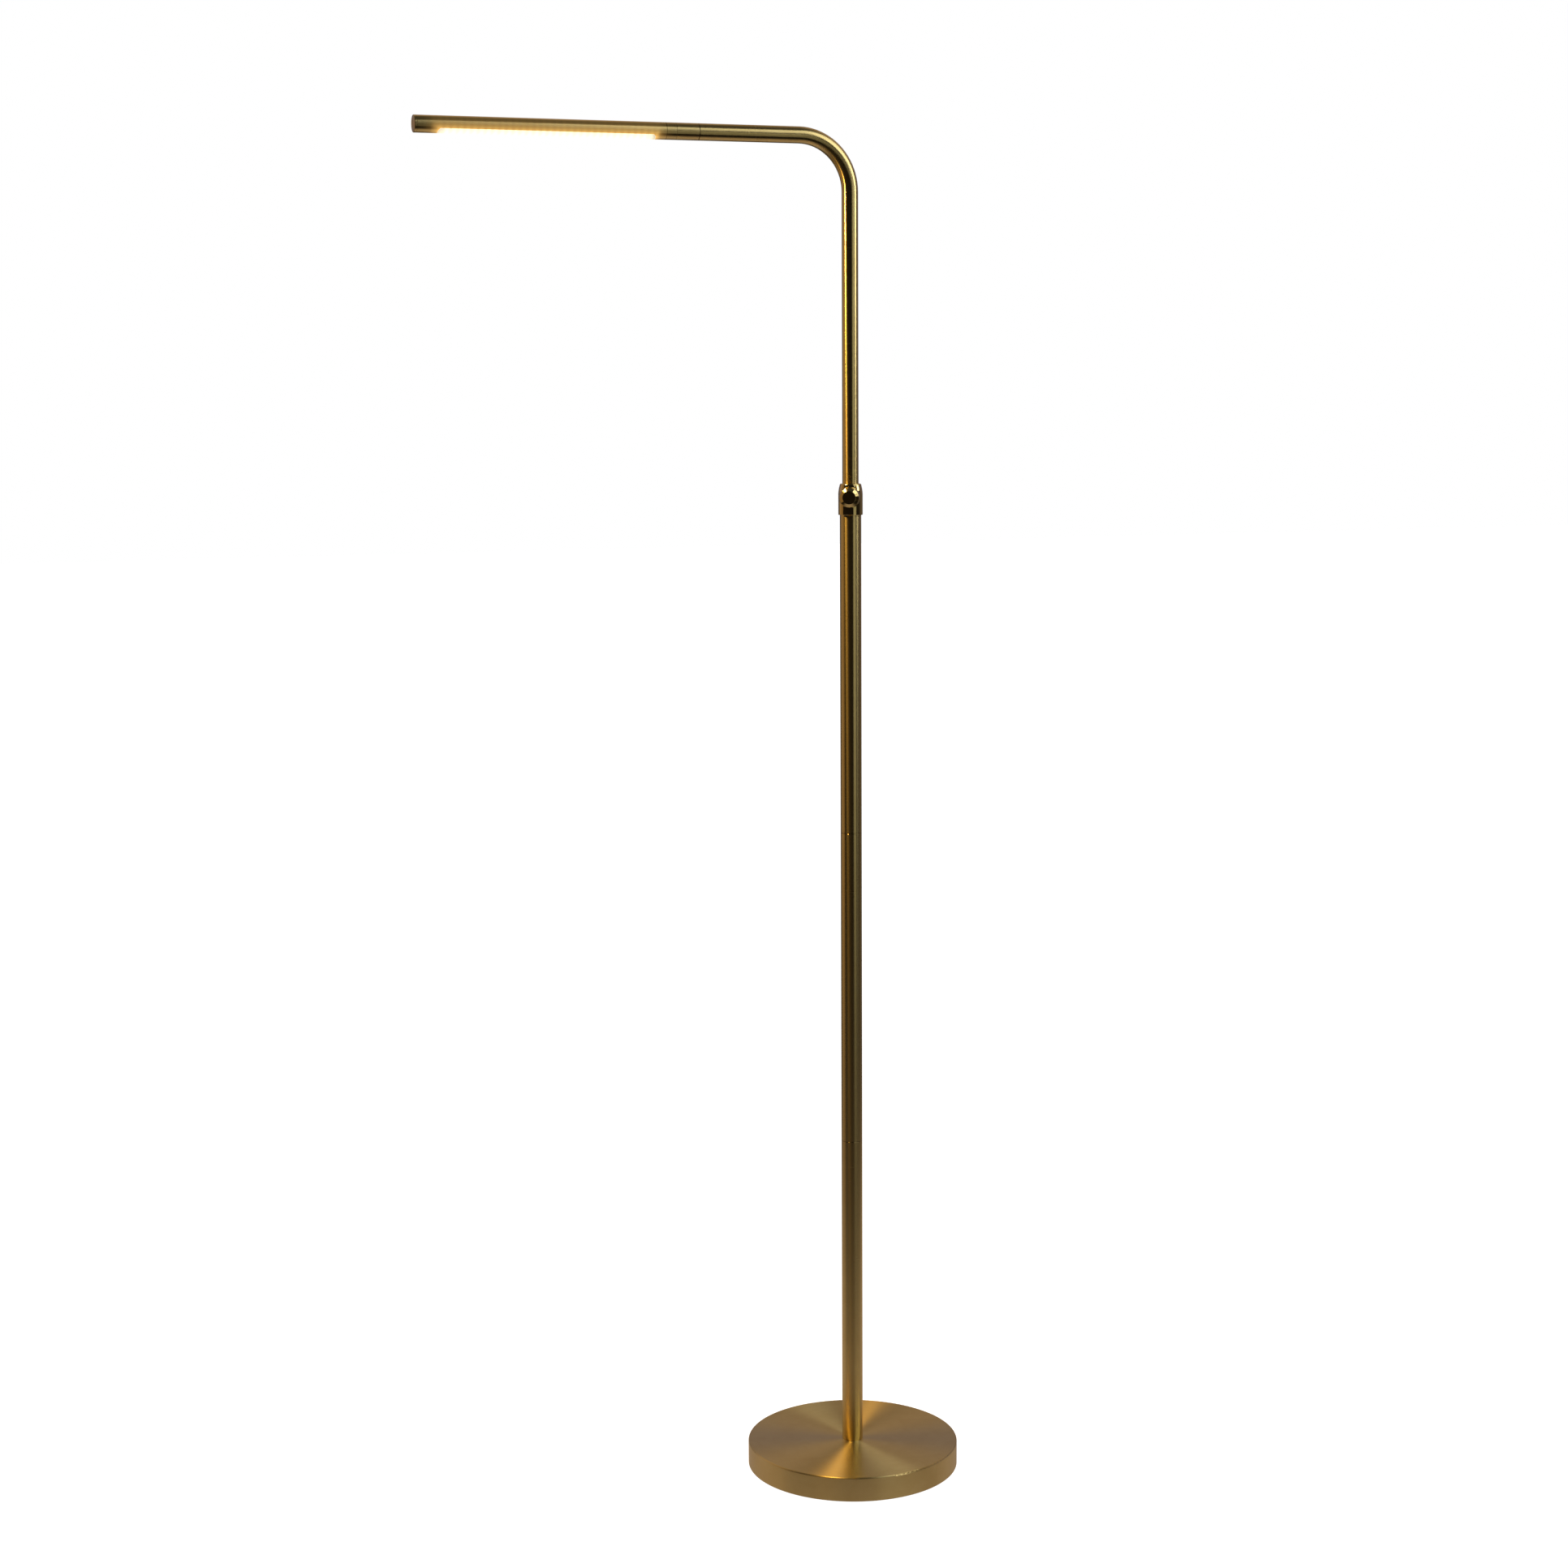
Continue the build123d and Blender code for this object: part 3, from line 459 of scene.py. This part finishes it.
def opal():
    """The lit opal window: brightest under each chip, a little dimmer towards its ends and edges."""
    material, tree, shader = new_material("opal")
    x, y, z = parts(tree, place(tree))
    wave = ripple(tree, x, CHIP_PITCH)
    from_far = calc(tree, "SUBTRACT", x, WINDOW_FAR)
    from_near = calc(tree, "SUBTRACT", WINDOW_NEAR, x)
    from_end = calc(tree, "MINIMUM", from_far, from_near)
    ends = spread(tree, from_end, 0.0, OPAL_END_FADE, 0.55, 1.0, smooth=True)
    depth = spread(tree, z, ARM_CENTRE.z - TUBE_RADIUS, WINDOW_CUT, 1.0, 0.72)
    grain = noise(tree, place(tree), scale=900.0, detail=2.0, roughness=0.5)
    chips = calc(tree, "MULTIPLY_ADD", wave, OPAL_RIPPLE, 1.0 - OPAL_RIPPLE)
    level = calc(tree, "MULTIPLY", calc(tree, "MULTIPLY", ends, depth), chips)
    level = calc(tree, "MULTIPLY", level, calc(tree, "MULTIPLY_ADD", grain, 0.08, 0.96))
    milk = (0.86, 0.84, 0.78), (0.93, 0.92, 0.88)
    coat(tree, shader, grain, milk, grain, smoothest=0.38, rougher=0.12)
    glow(material, tree, shader, OPAL_GLOW, calc(tree, "MULTIPLY", level, OPAL_LEVEL))
    bump(tree, shader, grain, distance=6e-6, strength=0.5)
    return material


def phosphor():
    """The chips' yellow phosphor."""
    material, tree, shader = new_material("phosphor")
    grain = noise(tree, place(tree), scale=4200.0, detail=2.0, roughness=0.6)
    yellow = (0.88, 0.66, 0.12), (0.96, 0.80, 0.25)
    coat(tree, shader, grain, yellow, grain, smoothest=0.35, rougher=0.2)
    level = calc(tree, "MULTIPLY_ADD", grain, 0.6, PHOSPHOR_LEVEL)
    glow(material, tree, shader, LIGHT_WARM, level)
    bump(tree, shader, grain, distance=1e-5, strength=0.4)
    return material


# ---------------------------------------------------------------- inside and underside

def cast_iron():
    """Black-painted sand casting: pebbled skin, chipped to grey on its edges."""
    material, tree, shader = new_material("cast_iron")
    skin = noise(tree, place(tree), scale=420.0, detail=5.0, roughness=0.65)
    pits = cells(tree, place(tree), scale=260.0)
    worn = calc(tree, "MULTIPLY", edge_wear(tree, radius=0.0012, low=0.75, high=0.98), skin, clamp=True)
    paint = mix(tree, skin, (0.012, 0.012, 0.013), (0.045, 0.044, 0.046))
    put(tree, shader.inputs["Base Color"], mix(tree, worn, paint, (0.22, 0.21, 0.20)))
    shader.inputs["Metallic"].default_value = 0.35
    put(tree, shader.inputs["Roughness"], spread(tree, skin, 0.3, 0.7, 0.48, 0.72))
    bump(tree, shader, calc(tree, "MULTIPLY_ADD", pits, 0.5, skin), distance=1.6e-4, strength=0.7)
    return material


def zinc_plate():
    """Zinc-plated steel: pale blue-grey with a yellowish drift and fine specks."""
    material, tree, shader = new_material("zinc_plate")
    drift = noise(tree, place(tree), scale=130.0, detail=3.0, roughness=0.6, distortion=0.6)
    speck = noise(tree, place(tree), scale=2600.0, detail=2.0, roughness=0.7)
    rubbed = edge_wear(tree, radius=0.0004, low=0.8, high=0.98)
    colour = mix(tree, spread(tree, drift, 0.35, 0.7), (0.62, 0.65, 0.70), (0.66, 0.64, 0.56))
    tones = colour, (0.82, 0.83, 0.85)
    coat(tree, shader, calc(tree, "MULTIPLY", rubbed, 0.5), tones, speck, smoothest=0.24, rougher=0.16)
    shader.inputs["Metallic"].default_value = 1.0
    bump(tree, shader, speck, distance=6e-6, strength=0.5)
    return material


def extruded_aluminium():
    """Aluminium bar with die lines that run along it."""
    material, tree, shader = new_material("extruded_aluminium")
    x, y, z = parts(tree, place(tree))
    drawn = [calc(tree, "MULTIPLY", x, DIE_LINES_ALONG)]
    drawn += [calc(tree, "MULTIPLY", side, DIE_LINES_ACROSS) for side in (y, z)]
    lines = noise(tree, joined(tree, *drawn), scale=1.0, detail=2.0)
    cloud = noise(tree, place(tree), scale=60.0, detail=3.0)
    tones = (0.66, 0.67, 0.68), (0.80, 0.80, 0.80)
    coat(tree, shader, cloud, tones, lines, smoothest=0.28, rougher=0.2)
    shader.inputs["Metallic"].default_value = 1.0
    bump(tree, shader, lines, distance=8e-6, strength=0.6)
    return material


def foam_pad():
    """Closed-cell foam on the underside: dark grey, with cells and lint."""
    material, tree, shader = new_material("foam_pad")
    cell = cells(tree, place(tree), scale=1500.0)
    lint = noise(tree, place(tree), scale=700.0, detail=4.0, roughness=0.7)
    drift = noise(tree, place(tree), scale=25.0, detail=3.0)
    base = mix(tree, drift, (0.022, 0.022, 0.024), (0.040, 0.039, 0.040))
    caught = spread(tree, lint, 0.62, 0.8, 0.0, 0.5)
    coat(tree, shader, caught, (base, (0.13, 0.125, 0.12)), lint, smoothest=0.80, rougher=0.15)
    shader.inputs["Sheen Weight"].default_value = 0.25
    bump(tree, shader, cell, distance=1.8e-4, strength=0.7)
    return material


def rubber():
    """Moulded black rubber with a faint bloom."""
    material, tree, shader = new_material("rubber")
    bloom = noise(tree, place(tree), scale=180.0, detail=4.0, roughness=0.6)
    grain = noise(tree, place(tree), scale=2500.0, detail=2.0, roughness=0.6)
    tones = (0.010, 0.010, 0.011), (0.034, 0.033, 0.033)
    coat(tree, shader, bloom, tones, bloom, smoothest=0.46, rougher=0.18)
    bump(tree, shader, grain, distance=2e-5, strength=0.5)
    return material


def moulded_white():
    """White acetal or nylon: a fine moulded texture, a little yellowed."""
    material, tree, shader = new_material("moulded_white")
    grain = noise(tree, place(tree), scale=1800.0, detail=3.0, roughness=0.6)
    drift = noise(tree, place(tree), scale=90.0, detail=3.0)
    tones = (0.78, 0.77, 0.72), (0.86, 0.85, 0.82)
    coat(tree, shader, drift, tones, grain, smoothest=0.36, rougher=0.15)
    shader.inputs["Subsurface Weight"].default_value = 0.08
    shader.inputs["Subsurface Scale"].default_value = 0.001
    bump(tree, shader, grain, distance=1.5e-5, strength=0.5)
    return material


def lead_sleeve():
    """The lead's PVC jacket: pale and slightly glossy, with a fine grain and some dust."""
    material, tree, shader = new_material("lead_sleeve")
    grain = noise(tree, place(tree), scale=1300.0, detail=3.0, roughness=0.6)
    dust = noise(tree, place(tree), scale=120.0, detail=3.0, roughness=0.6)
    tones = (0.60, 0.59, 0.56), (0.74, 0.73, 0.70)
    coat(tree, shader, dust, tones, grain, smoothest=0.32, rougher=0.15)
    bump(tree, shader, grain, distance=2e-5, strength=0.4)
    return material


def board_coat():
    """White solder resist over glass fibre, with the weave just showing."""
    material, tree, shader = new_material("board_coat")
    x, y, z = parts(tree, place(tree))
    weave_x = calc(tree, "SINE", calc(tree, "MULTIPLY", x, 2 * pi / FIBRE_PITCH))
    weave_y = calc(tree, "SINE", calc(tree, "MULTIPLY", y, 2 * pi / FIBRE_PITCH))
    weave = calc(tree, "MULTIPLY_ADD", calc(tree, "MULTIPLY", weave_x, weave_y), 0.5, 0.5)
    drift = noise(tree, place(tree), scale=300.0, detail=3.0)
    tones = (0.80, 0.80, 0.77), (0.88, 0.88, 0.86)
    coat(tree, shader, drift, tones, drift, smoothest=0.26, rougher=0.12)
    bump(tree, shader, weave, distance=6e-6, strength=0.4)
    return material


# ---------------------------------------------------------------- each CAD node's material

FINISHES = {
    pole_brass: ["pole_lower", "pole_middle", "pole_upper"],
    bent_tube_brass: ["arm_tube"],
    spun_brass: ["base_cover"],
    collar_brass: ["clamp_collar"],
    knob_brass: ["clamp_knob"],
    head_brass: ["head_tube"],
    plain_head_brass: ["swivel_ring", "end_cap"],
    opal: ["diffuser"],
    phosphor: ["led_chips"],
    cast_iron: ["base_weight"],
    foam_pad: ["base_pad"],
    rubber: ["cord_grommet"],
    extruded_aluminium: ["heat_sink"],
    board_coat: ["led_board"],
    lead_sleeve: ["pole_lead", "coiled_lead", "arm_lead", "head_lead"],
    moulded_white: [
        "terminal_block", "guide_bush", "slide_bush", "lead_bush",
        "clamp_shoe", "swivel_washer", "board_connector",
    ],
    zinc_plate: [
        "base_nipple", "base_washer", "base_nut", "pole_foot_plug", "coupler_lower",
        "coupler_upper", "clamp_screw", "retaining_rings", "swivel_plug", "swivel_stop_pin",
        "spring_washer", "swivel_nut", "board_screws",
    ],
}

for finish, names in FINISHES.items():
    material = finish()
    for name in names:
        for slot in frame["nodes"][name].material_slots:
            slot.material = material


# ---------------------------------------------------------------- floor

def floor_paper():
    """Plain white studio paper with a faint tooth. It can be seen through from below."""
    material, tree, shader = new_material("floor_paper")
    tooth = noise(tree, place(tree), scale=240.0, detail=3.0, roughness=0.6)
    drift = noise(tree, place(tree), scale=2.2, detail=2.0)
    tones = (0.90, 0.90, 0.89), (0.95, 0.95, 0.94)
    coat(tree, shader, drift, tones, tooth, smoothest=0.85, rougher=0.1)
    level = calc(tree, "MULTIPLY_ADD", drift, 0.02, PAPER_LEVEL)
    glow(material, tree, shader, (1, 1, 1), level)
    from_below = tree.nodes.new("ShaderNodeNewGeometry").outputs["Backfacing"]
    put(tree, shader.inputs["Alpha"], calc(tree, "SUBTRACT", 1.0, from_below))
    bump(tree, shader, tooth, distance=1e-4, strength=0.2)
    return material


def table_glow():
    """The lit paper as the brass reflects it. It falls off into the dark room."""
    material, tree, shader = new_material("table_glow")
    centre = (BEHIND[0] * GLOW_BEHIND, BEHIND[1] * GLOW_BEHIND, 0.0)
    reach = vector(tree, "LENGTH", vector(tree, "SUBTRACT", place(tree), centre))
    level = spread(tree, reach, GLOW_NEAR, GLOW_FAR, 1.0, 0.0, smooth=True)
    cloud = noise(tree, place(tree), scale=3.0, detail=2.0)
    tones = (0.02, 0.02, 0.02), (0.03, 0.03, 0.03)
    put(tree, shader.inputs["Base Color"], mix(tree, cloud, *tones))
    shader.inputs["Roughness"].default_value = 0.9
    cloudy = calc(tree, "MULTIPLY_ADD", cloud, 0.1, FLOOR_GLOW_LEVEL)
    glow(material, tree, shader, FLOOR_GLOW, calc(tree, "MULTIPLY", level, cloudy))
    return material


def flat_sheet(name, size, height, material):
    """A level square sheet that isn't part of the lamp."""
    bpy.ops.mesh.primitive_grid_add(
        x_subdivisions=4, y_subdivisions=4, size=size, location=(0, 0, height)
    )
    sheet = bpy.context.object
    sheet.name = name
    sheet.data.materials.append(material)
    return sheet


floor = flat_sheet("floor", FLOOR_SIZE, -FLOOR_GAP, floor_paper())
floor.visible_glossy = False
floor.visible_diffuse = False
glow_sheet = flat_sheet("floor_glow", GLOW_SIZE, -GLOW_GAP, table_glow())
glow_sheet.visible_camera = False
glow_sheet.visible_diffuse = False
glow_sheet.visible_shadow = False


# ---------------------------------------------------------------- light

def colour_ramp(tree, value, stops):
    """Colours against a value from 0 to 1."""
    node = tree.nodes.new("ShaderNodeValToRGB")
    ramp = node.color_ramp
    ramp.interpolation = "EASE"
    while len(ramp.elements) < len(stops):
        ramp.elements.new(0.5)
    for element, (position, colour) in zip(ramp.elements, stops):
        element.position = position
        element.color = (*colour, 1)
    put(tree, node.inputs[0], value)
    return node.outputs[0]


def studio_world():
    """White to the camera. Reflections see a dim room, dark in front and paler behind."""
    world = bpy.data.worlds.new("studio")
    bpy.context.scene.world = world
    world.use_nodes = True
    tree = world.node_tree
    tree.nodes.clear()
    output = tree.nodes.new("ShaderNodeOutputWorld")
    background = tree.nodes.new("ShaderNodeBackground")
    tree.links.new(background.outputs[0], output.inputs["Surface"])
    direction = tree.nodes.new("ShaderNodeTexCoord").outputs["Generated"]
    x, y, z = parts(tree, direction)
    height = calc(tree, "MULTIPLY_ADD", z, 0.5, 0.5)
    front = colour_ramp(tree, height, ROOM_FRONT)
    rear = colour_ramp(tree, height, ROOM_REAR)
    depth = vector(tree, "DOT_PRODUCT", direction, (*BEHIND, 0.0))
    room = mix(tree, spread(tree, depth, -0.15, 0.60, 0.0, 1.0, smooth=True), front, rear)
    seen = tree.nodes.new("ShaderNodeLightPath").outputs["Is Camera Ray"]
    put(tree, background.inputs["Color"], mix(tree, seen, room, (1.0, 1.0, 1.0)))
    background.inputs["Strength"].default_value = 1.0
    world.cycles.sampling_method = "NONE"


ROOM_FRONT = [
    (0.0, (0.05, 0.04, 0.03)),
    (0.30, (0.022, 0.016, 0.011)),
    (0.44, (0.010, 0.007, 0.005)),
    (0.51, (0.008, 0.006, 0.005)),
    (0.80, (0.010, 0.009, 0.008)),
    (1.0, (0.04, 0.04, 0.035)),
]
ROOM_REAR = [
    (0.0, (0.05, 0.04, 0.03)),
    (0.44, (0.10, 0.08, 0.06)),
    (0.56, (0.16, 0.13, 0.17)),
    (0.66, (0.195, 0.165, 0.205)),
    (0.76, (0.37, 0.28, 0.22)),
    (0.90, (0.37, 0.28, 0.22)),
    (0.97, (0.05, 0.045, 0.04)),
]


def softbox(name, right, behind, height, width, tall, level, colour, aim):
    """A soft rectangular light to the right of and behind the lamp, aimed at a height on the pole."""
    data = bpy.data.lights.new(name, "AREA")
    data.shape = "RECTANGLE"
    data.size = width
    data.size_y = tall
    data.energy = level * pi * width * tall
    data.color = colour
    lamp = bpy.data.objects.new(name, data)
    lamp.location = (
        right * TO_RIGHT[0] + behind * BEHIND[0],
        right * TO_RIGHT[1] + behind * BEHIND[1],
        height,
    )
    facing = Vector((0, 0, aim)) - lamp.location
    lamp.rotation_euler = facing.to_track_quat("-Z", "Y").to_euler()
    lamp.visible_camera = False
    bpy.context.collection.objects.link(lamp)


def window_light():
    """The lamp's own light, which shines down out of the window and turns with the head."""
    data = bpy.data.lights.new("window_light", "AREA")
    data.shape = "RECTANGLE"
    data.size = WINDOW_NEAR - WINDOW_FAR
    data.size_y = WINDOW_LIGHT_WIDTH
    data.energy = WINDOW_LIGHT_LEVEL * pi * data.size * data.size_y
    data.color = LIGHT_WARM
    lamp = bpy.data.objects.new("window_light", data)
    height = ARM_CENTRE.z - TUBE_RADIUS - WINDOW_LIGHT_GAP
    lamp.location = ((WINDOW_NEAR + WINDOW_FAR) / 2, 0, height)
    lamp.visible_camera = False
    bpy.context.collection.objects.link(lamp)
    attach(lamp, "head")


studio_world()
softbox(
    "key_right", right=1.25, behind=-0.43, height=2.38, width=1.6, tall=1.0,
    level=1.55, colour=(1.0, 0.99, 0.96), aim=1.45,
)
softbox(
    "side_right", right=1.44, behind=-0.20, height=1.66, width=0.60, tall=0.45,
    level=3.5, colour=(1.0, 0.97, 0.90), aim=1.45,
)
softbox(
    "panel_right", right=1.04, behind=-1.21, height=1.05, width=0.75, tall=1.2,
    level=0.30, colour=(1.0, 0.97, 0.80), aim=1.05,
)
softbox(
    "panel_left", right=-1.70, behind=0.30, height=1.00, width=1.5, tall=2.6,
    level=0.22, colour=(1.0, 0.60, 0.27), aim=0.9,
)
window_light()


# ---------------------------------------------------------------- camera

def make_camera():
    """The photograph's viewing point, found from the lamp's own edges."""
    level_reach = cos(CAMERA_TILT)
    ahead = Vector((BEHIND[0] * level_reach, BEHIND[1] * level_reach, -sin(CAMERA_TILT)))
    right = Vector((*TO_RIGHT, 0))
    up = right.cross(ahead)
    rolled = cos(CAMERA_ROLL) * right + sin(CAMERA_ROLL) * up
    upright = rolled.cross(ahead)
    data = bpy.data.cameras.new("camera")
    data.lens = CAMERA_LENS_MM
    data.sensor_width = CAMERA_SENSOR_MM
    data.clip_start = CAMERA_NEAR
    data.clip_end = CAMERA_FAR
    camera = bpy.data.objects.new("camera", data)
    turn = Matrix((rolled, upright, -ahead)).transposed()
    camera.matrix_world = Matrix.Translation(CAMERA_PLACE) @ turn.to_4x4()
    bpy.context.collection.objects.link(camera)
    bpy.context.scene.camera = camera


make_camera()
view = bpy.context.scene.view_settings
view.view_transform = "Standard"
view.look = "None"
